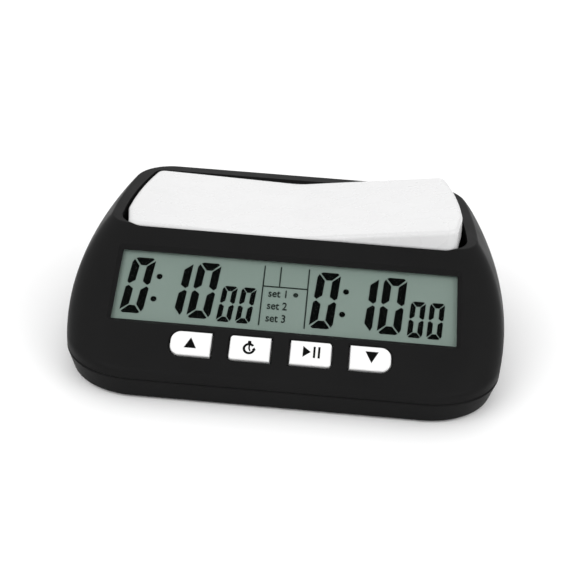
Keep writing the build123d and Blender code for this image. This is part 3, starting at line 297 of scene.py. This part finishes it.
def flat_cable(name):
    """Grey ribbon cable with a groove between each pair of its wires, which lie side by side along X, painted
    darker into each groove as shade.
    """
    made, tree, shader = new_material(name)
    along = node(tree, "ShaderNodeSeparateXYZ", {"Vector": place(tree)}).outputs["X"]
    phase = calculated(tree, "MULTIPLY", along, tau / WIRE_PITCH)
    ridge = ranged(tree, calculated(tree, "COSINE", phase, 0.0), 0, 1, -1, 1)
    # Painted shade: darker grey in each groove between wires, lighter on the crests.
    tree.links.new(blended(tree, ridge, (0.16, 0.16, 0.17), (0.40, 0.40, 0.41)),
                   shader.inputs["Base Color"])
    tree.links.new(ranged(tree, noise(tree, 0.003), 0.40, 0.55), shader.inputs["Roughness"])
    bumped(tree, shader, ridge, 0.8, 0.0003)
    return made


FINISHES = {
    # The black case's edges get a painted highlight, lighter than its own black.
    "case_black": moulded("case_black", (0.0088, 0.0088, 0.0089), (0.0116, 0.0116, 0.0117),
                          (0.36, 0.44), 0.00016, 0.18, edge_highlight=(0.015, 0.015, 0.015),
                          Specular_IOR_Level=0.025),
    "rocker_white": moulded("rocker_white", (0.635, 0.635, 0.64), (0.65, 0.65, 0.65),
                            (0.24, 0.30), 0.0012, 0.004, edge=0.0003),
    "key_white": moulded("key_white", (0.78, 0.78, 0.78), (0.81, 0.81, 0.805),
                         (0.34, 0.42), 0.0002, 0.08),
    "clear_window": clear_plastic("clear_window"),
    "lcd_glass": reflector("lcd_glass"),
    "inner_plastic": moulded("inner_plastic", (0.020, 0.020, 0.021), (0.034, 0.034, 0.035),
                             (0.50, 0.62), 0.0002, 0.2),
    "silicone_grey": moulded("silicone_grey", (0.20, 0.20, 0.21), (0.27, 0.27, 0.28),
                             (0.60, 0.75), 0.0003, 0.2, Sheen_Weight=0.15),
    "steel": drawn_metal("steel", (0.42, 0.42, 0.43), (0.62, 0.62, 0.63), (0.20, 0.38), (0.15, 1, 1)),
    "black_rubber": moulded("black_rubber", (0.012, 0.012, 0.012), (0.028, 0.028, 0.028),
                            (0.70, 0.85), 0.00035, 0.5, Specular_IOR_Level=0.35),
    "circuit_board": board_laminate("circuit_board"),
    "switch_black": moulded("switch_black", (0.010, 0.010, 0.010), (0.018, 0.018, 0.018),
                            (0.38, 0.50), 0.00015, 0.2),
    "chip_resin": moulded("chip_resin", (0.006, 0.006, 0.006), (0.014, 0.014, 0.014),
                          (0.35, 0.60), 0.0002, 0.35),
    "capacitor_sleeve": moulded("capacitor_sleeve", (0.010, 0.016, 0.045), (0.016, 0.024, 0.065),
                                (0.25, 0.36), 0.0005, 0.08),
    "ribbon_grey": flat_cable("ribbon_grey"),
    "battery_sleeve": battery_wrap("battery_sleeve"),
    "lead_red": moulded("lead_red", (0.33, 0.012, 0.010), (0.46, 0.022, 0.018),
                        (0.35, 0.48), 0.0003, 0.15),
    "lead_black": moulded("lead_black", (0.010, 0.010, 0.010), (0.018, 0.018, 0.018),
                          (0.35, 0.48), 0.0003, 0.15),
    "brass": drawn_metal("brass", (0.55, 0.38, 0.14), (0.75, 0.55, 0.24), (0.22, 0.40), (1, 1, 0.15)),
    "ceramic": moulded("ceramic", (0.62, 0.60, 0.54), (0.74, 0.72, 0.66), (0.45, 0.60), 0.0001, 0.2),
}

for row in frame["record"]["subparts"]:
    slots = frame["nodes"][row["node"]].data.materials
    slots.clear()
    slots.append(FINISHES[row["material_slot"]])


# ---------------------------------------------------------------- printed shapes
# The display and the keys lie on the sloping face. Its frame has X along, Y up the slope, Z out of it.
PRESS = next(joint for joint in frame["joints"] if joint["name"] == "key_up_press")
OUTWARD = -Vector(PRESS["axis"]).normalized()
ALONG = Vector((1, 0, 0))
UPHILL = OUTWARD.cross(ALONG)


def outer_face(name):
    """The frame of a node's outer face, at the middle of the face."""
    points = [vertex.co for vertex in frame["nodes"][name].data.vertices]
    spans = [[point.dot(axis) for point in points] for axis in (ALONG, UPHILL)]
    across, uphill = ((min(span) + max(span)) / 2 for span in spans)
    height = max(point.dot(OUTWARD) for point in points)
    turn = Matrix((ALONG, UPHILL, OUTWARD)).transposed().to_4x4()
    return Matrix.Translation(across * ALONG + uphill * UPHILL + height * OUTWARD) @ turn


def prism(mesh, outline, low, high):
    """Add an outline to a mesh as a closed plate from height low to height high. All in millimetres."""
    rings = [[mesh.verts.new((x * MM, y * MM, z * MM)) for x, y in outline] for z in (low, high)]
    bottom, top = rings
    mesh.faces.new(bottom[::-1])
    mesh.faces.new(top)
    for i, corner in enumerate(bottom):
        following = (i + 1) % len(bottom)
        mesh.faces.new((corner, bottom[following], top[following], top[i]))


def printed(name, outlines, where, thick, finish, body):
    """A piece made of plates on a face, sunk a little into it. Each plate is a hair thicker than the last,
    so that plates that cross share no face."""
    mesh = bmesh.new()
    for i, outline in enumerate(outlines):
        prism(mesh, outline, -SUNK, thick + i * HAIR)
    bmesh.ops.recalc_face_normals(mesh, faces=mesh.faces)
    data = bpy.data.meshes.new(name)
    mesh.to_mesh(data)
    mesh.free()
    data.transform(where)
    data.materials.append(finish)
    piece = bpy.data.objects.new(name, data)
    bpy.context.scene.collection.objects.link(piece)
    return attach(piece, body)


def arc(middle, radius, start, end, steps):
    """Points on an arc, with angles in degrees from X."""
    turns = [radians(start + (end - start) * i / steps) for i in range(steps + 1)]
    return [(middle[0] + radius * cos(t), middle[1] + radius * sin(t)) for t in turns]


def disc(middle, radius, steps=32):
    """A circle as a closed outline."""
    return arc(middle, radius, 0, 360, steps)[:-1]


def bar(start, end, width):
    """A straight line of this width as a closed outline."""
    run = (Vector(end) - Vector(start)).normalized()
    side = Vector((-run.y, run.x)) * width / 2
    return [tuple(point) for point in (
        Vector(start) - side, Vector(end) - side, Vector(end) + side, Vector(start) + side)]


SUNK = 0.01
HAIR = 0.0005


# ---- display ----
# Three segments of a digit about its middle, in millimetres. The other three are these turned half round.
UPPER_LEFT = ((-3.18, 0.40), (-4.03, 1.10), (-4.03, 9.20), (-3.45, 10.50), (-1.24, 7.80), (-1.34, 1.90))
UPPER_RIGHT = ((3.16, 0.30), (4.10, 1.08), (4.10, 10.20), (1.40, 7.70), (1.40, 1.60))
TOP = ((-3.00, 10.85), (-0.80, 8.22), (1.22, 8.24), (3.50, 10.78), (2.85, 11.28), (-2.25, 11.28))
DIGIT_SLANT = 0.075
DIGITS_UP = 0.64
SMALL_DIGIT = 0.632
SMALL_UP = -3.99
SECOND_CLOCK = 66.1
LARGE_ZEROS = (-52.48, -28.98)
LARGE_ONE = -38.95
SMALL_ZEROS = (-20.40, -13.73)
COLON = ((-45.40, 4.74), (-46.20, -4.41))
COLON_RADIUS = 1.03
DISPLAY_THICK = 0.15


def turned(outline):
    """An outline turned half round about its middle."""
    return [(-x, -y) for x, y in outline]


def digit(segments, across, uphill, scale=1.0):
    """A slanting digit's segments, with its middle at this place."""
    return [[(across + scale * (x + DIGIT_SLANT * y), uphill + scale * y) for x, y in segment]
            for segment in segments]


zero = [UPPER_LEFT, UPPER_RIGHT, TOP, turned(UPPER_LEFT), turned(UPPER_RIGHT), turned(TOP)]
one = [UPPER_RIGHT, turned(UPPER_LEFT)]
segments = []
for shift in (0, SECOND_CLOCK):
    segments += digit(one, LARGE_ONE + shift, DIGITS_UP)
    for across in LARGE_ZEROS:
        segments += digit(zero, across + shift, DIGITS_UP)
    for across in SMALL_ZEROS:
        segments += digit(zero, across + shift, SMALL_UP, SMALL_DIGIT)
    segments += [disc((across + shift, uphill), COLON_RADIUS) for across, uphill in COLON]

# Lines of the box between the two clocks, and the dot beside its first word.
LINE = 0.42
LINES = (
    ((-8.60, -11.3), (-8.60, 12.75)),
    ((7.20, -11.2), (7.20, 12.65)),
    ((-2.80, 4.6), (-2.80, 12.7)),
    ((-8.60, 4.4), (7.20, 4.4)),
)
DOT = ((3.20, 1.70), 0.87)
grid = [bar(start, end, LINE) for start, end in LINES] + [disc(*DOT)]

dark_crystal = moulded("dark_crystal", (0.0010, 0.0014, 0.0012), (0.0018, 0.0024, 0.0021),
                       (0.30, 0.38), 0.0003, 0.05, Specular_IOR_Level=0.01)
faint_crystal = moulded("faint_crystal", (0.010, 0.015, 0.013), (0.015, 0.021, 0.018),
                        (0.30, 0.38), 0.0003, 0.05, Specular_IOR_Level=0.01)
display = outer_face("lcd_panel")
printed("display_digits", segments, display, DISPLAY_THICK, dark_crystal, "case")
printed("display_grid", grid, display, DISPLAY_THICK, faint_crystal, "case")

WORDS = ("set 1", "set 2", "set 3")
WORDS_AT = (-6.5, 0.3)
WORDS_STEP = -4.93
WORD_SIZE = 4.3
WORD_WIDTH = 0.84
WORD_BOLDNESS = 0.04
LETTER_STEPS = 3                # straight steps in each curve of a letter


def add_words():
    """The list of timing sets in the box, as one mesh of plates."""
    text = bpy.data.curves.new("words", "FONT")
    text.body = "\n".join(WORDS)
    text.size = WORD_SIZE * MM
    text.space_line = -WORDS_STEP / WORD_SIZE
    text.resolution_u = LETTER_STEPS
    text.offset = WORD_BOLDNESS * MM
    text.extrude = (DISPLAY_THICK + SUNK) * MM / 2
    lettering = bpy.data.objects.new("words", text)
    data = bpy.data.meshes.new_from_object(lettering)
    bpy.data.objects.remove(lettering)
    lift = (DISPLAY_THICK - SUNK) / 2
    narrowed = Matrix.Diagonal((WORD_WIDTH, 1, 1, 1))
    data.transform(display @ Matrix.Translation(Vector((*WORDS_AT, lift)) * MM) @ narrowed)
    mesh = bmesh.new()
    mesh.from_mesh(data)
    bmesh.ops.remove_doubles(mesh, verts=mesh.verts, dist=MM * HAIR)
    mesh.to_mesh(data)
    mesh.free()
    data.materials.clear()
    data.materials.append(faint_crystal)
    piece = bpy.data.objects.new("display_words", data)
    bpy.context.scene.collection.objects.link(piece)
    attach(piece, "case")


add_words()

# ---- key symbols, in millimetres about the middle of each key's top ----
KEY_PRINT = 0.02
SYMBOLS_DOWN = 0.43             # how far below the middle of the key the symbols are centred
RING_MIDDLE = (-0.30, 0.15)
RING_RADIUS = 2.12
RING_STROKE = 0.84
RING_FROM = 40                  # degrees from the key's right, where the ring begins and ends
RING_TO = 352
RING_STEPS = 48
CROWN_HALF = (0.62, 0.50)       # half widths at the foot and the top
CROWN_SPAN = (-0.1, 0.85)       # foot and top, from the outside of the ring
HAND_WIDTH = 0.55
TIP_WIDTH = 0.52
PAUSE_WIDTH = 0.74


def ring_with_arrow():
    """An open ring with an arrowhead at one end, a crown on top and a hand inside."""
    x, y = RING_MIDDLE
    inner = RING_RADIUS - RING_STROKE
    middle = RING_RADIUS - RING_STROKE / 2
    ring = arc(RING_MIDDLE, RING_RADIUS, RING_FROM, RING_TO, RING_STEPS)
    ring += arc(RING_MIDDLE, inner, RING_TO, RING_FROM, RING_STEPS)
    head = [(x + middle - 0.72, y - 0.28), (x + middle + 0.70, y - 0.42), (x + middle + 0.10, y + 0.62)]
    foot, top = CROWN_HALF
    low, high = (y + RING_RADIUS + span for span in CROWN_SPAN)
    crown = [(x - foot, low), (x + foot, low), (x + top, high), (x - top, high)]
    hand = bar((x + 0.02, y + inner + 0.1), (x + 0.02, y - 0.05), HAND_WIDTH)
    tip = bar((x + 0.02, y + 0.10), (x + 0.42, y - 0.85), TIP_WIDTH)
    return [ring, head, crown, hand, tip]


SYMBOLS = {
    "up": [[(-2.1, -1.42), (2.1, -1.42), (-0.05, 2.55)]],
    "timer": ring_with_arrow(),
    "play_pause": [
        [(-2.68, -1.2), (0.0, 0.85), (-2.68, 2.9)],
        bar((1.2, -1.3), (1.2, 2.95), PAUSE_WIDTH),
        bar((2.8, -1.3), (2.8, 2.95), PAUSE_WIDTH),
    ],
    "down": [[(0.35, -1.35), (2.65, 2.9), (-1.85, 2.9)]],
}

key_ink = moulded("key_ink", (0.0010, 0.0010, 0.0010), (0.0022, 0.0022, 0.0022),
                  (0.45, 0.60), 0.0001, 0.2, Specular_IOR_Level=0.05)
lowered = Matrix.Translation((0, -SYMBOLS_DOWN * MM, 0))
for key, outlines in SYMBOLS.items():
    top = outer_face(f"button_{key}") @ lowered
    printed(f"symbol_{key}", outlines, top, KEY_PRINT, key_ink, f"key_{key}")


# ---------------------------------------------------------------- stage and light
def add_floor():
    """A plain pale floor under the clock."""
    data = bpy.data.meshes.new("floor")
    half = FLOOR_SIZE / 2
    data.from_pydata([(-half, -half, 0), (half, -half, 0), (half, half, 0), (-half, half, 0)], [],
                     [(0, 1, 2, 3)])
    pale, tree, shader = new_material("pale_floor", Roughness=0.9, Specular_IOR_Level=0.1)
    tree.links.new(blended(tree, noise(tree, 0.3), (0.95, 0.95, 0.95), (0.965, 0.965, 0.965)),
                   shader.inputs["Base Color"])
    data.materials.append(pale)
    floor = bpy.data.objects.new("floor", data)
    bpy.context.scene.collection.objects.link(floor)


def add_sky():
    """A studio sky, bright near the horizon and dim overhead."""
    world = bpy.data.worlds.new("studio")
    bpy.context.scene.world = world
    world.use_nodes = True
    tree = world.node_tree
    where = node(tree, "ShaderNodeTexCoord").outputs["Generated"]
    height = node(tree, "ShaderNodeSeparateXYZ", {"Vector": where}).outputs["Z"]
    glow = node(tree, "ShaderNodeMapRange", {
        "Value": height, "From Min": GLOW_FROM, "From Max": GLOW_TO,
        "To Min": HORIZON_GLOW, "To Max": ZENITH_GLOW,
    }, interpolation_type="SMOOTHSTEP").outputs["Result"]
    tree.nodes["Background"].inputs["Color"].default_value = (1, 1, 1, 1)
    tree.links.new(glow, tree.nodes["Background"].inputs["Strength"])


def add_lights():
    """Square softboxes that face the clock."""
    for name, (place_of, width, power) in LIGHTS.items():
        data = bpy.data.lights.new(name, "AREA")
        data.shape = "SQUARE"
        data.size = width
        data.energy = power
        light = bpy.data.objects.new(name, data)
        bpy.context.scene.collection.objects.link(light)
        light.location = place_of
        light.rotation_euler = (LIGHTS_AIM - Vector(place_of)).to_track_quat("-Z", "Y").to_euler()


add_floor()
add_sky()
add_lights()
bpy.context.scene.view_settings.view_transform = "Standard"
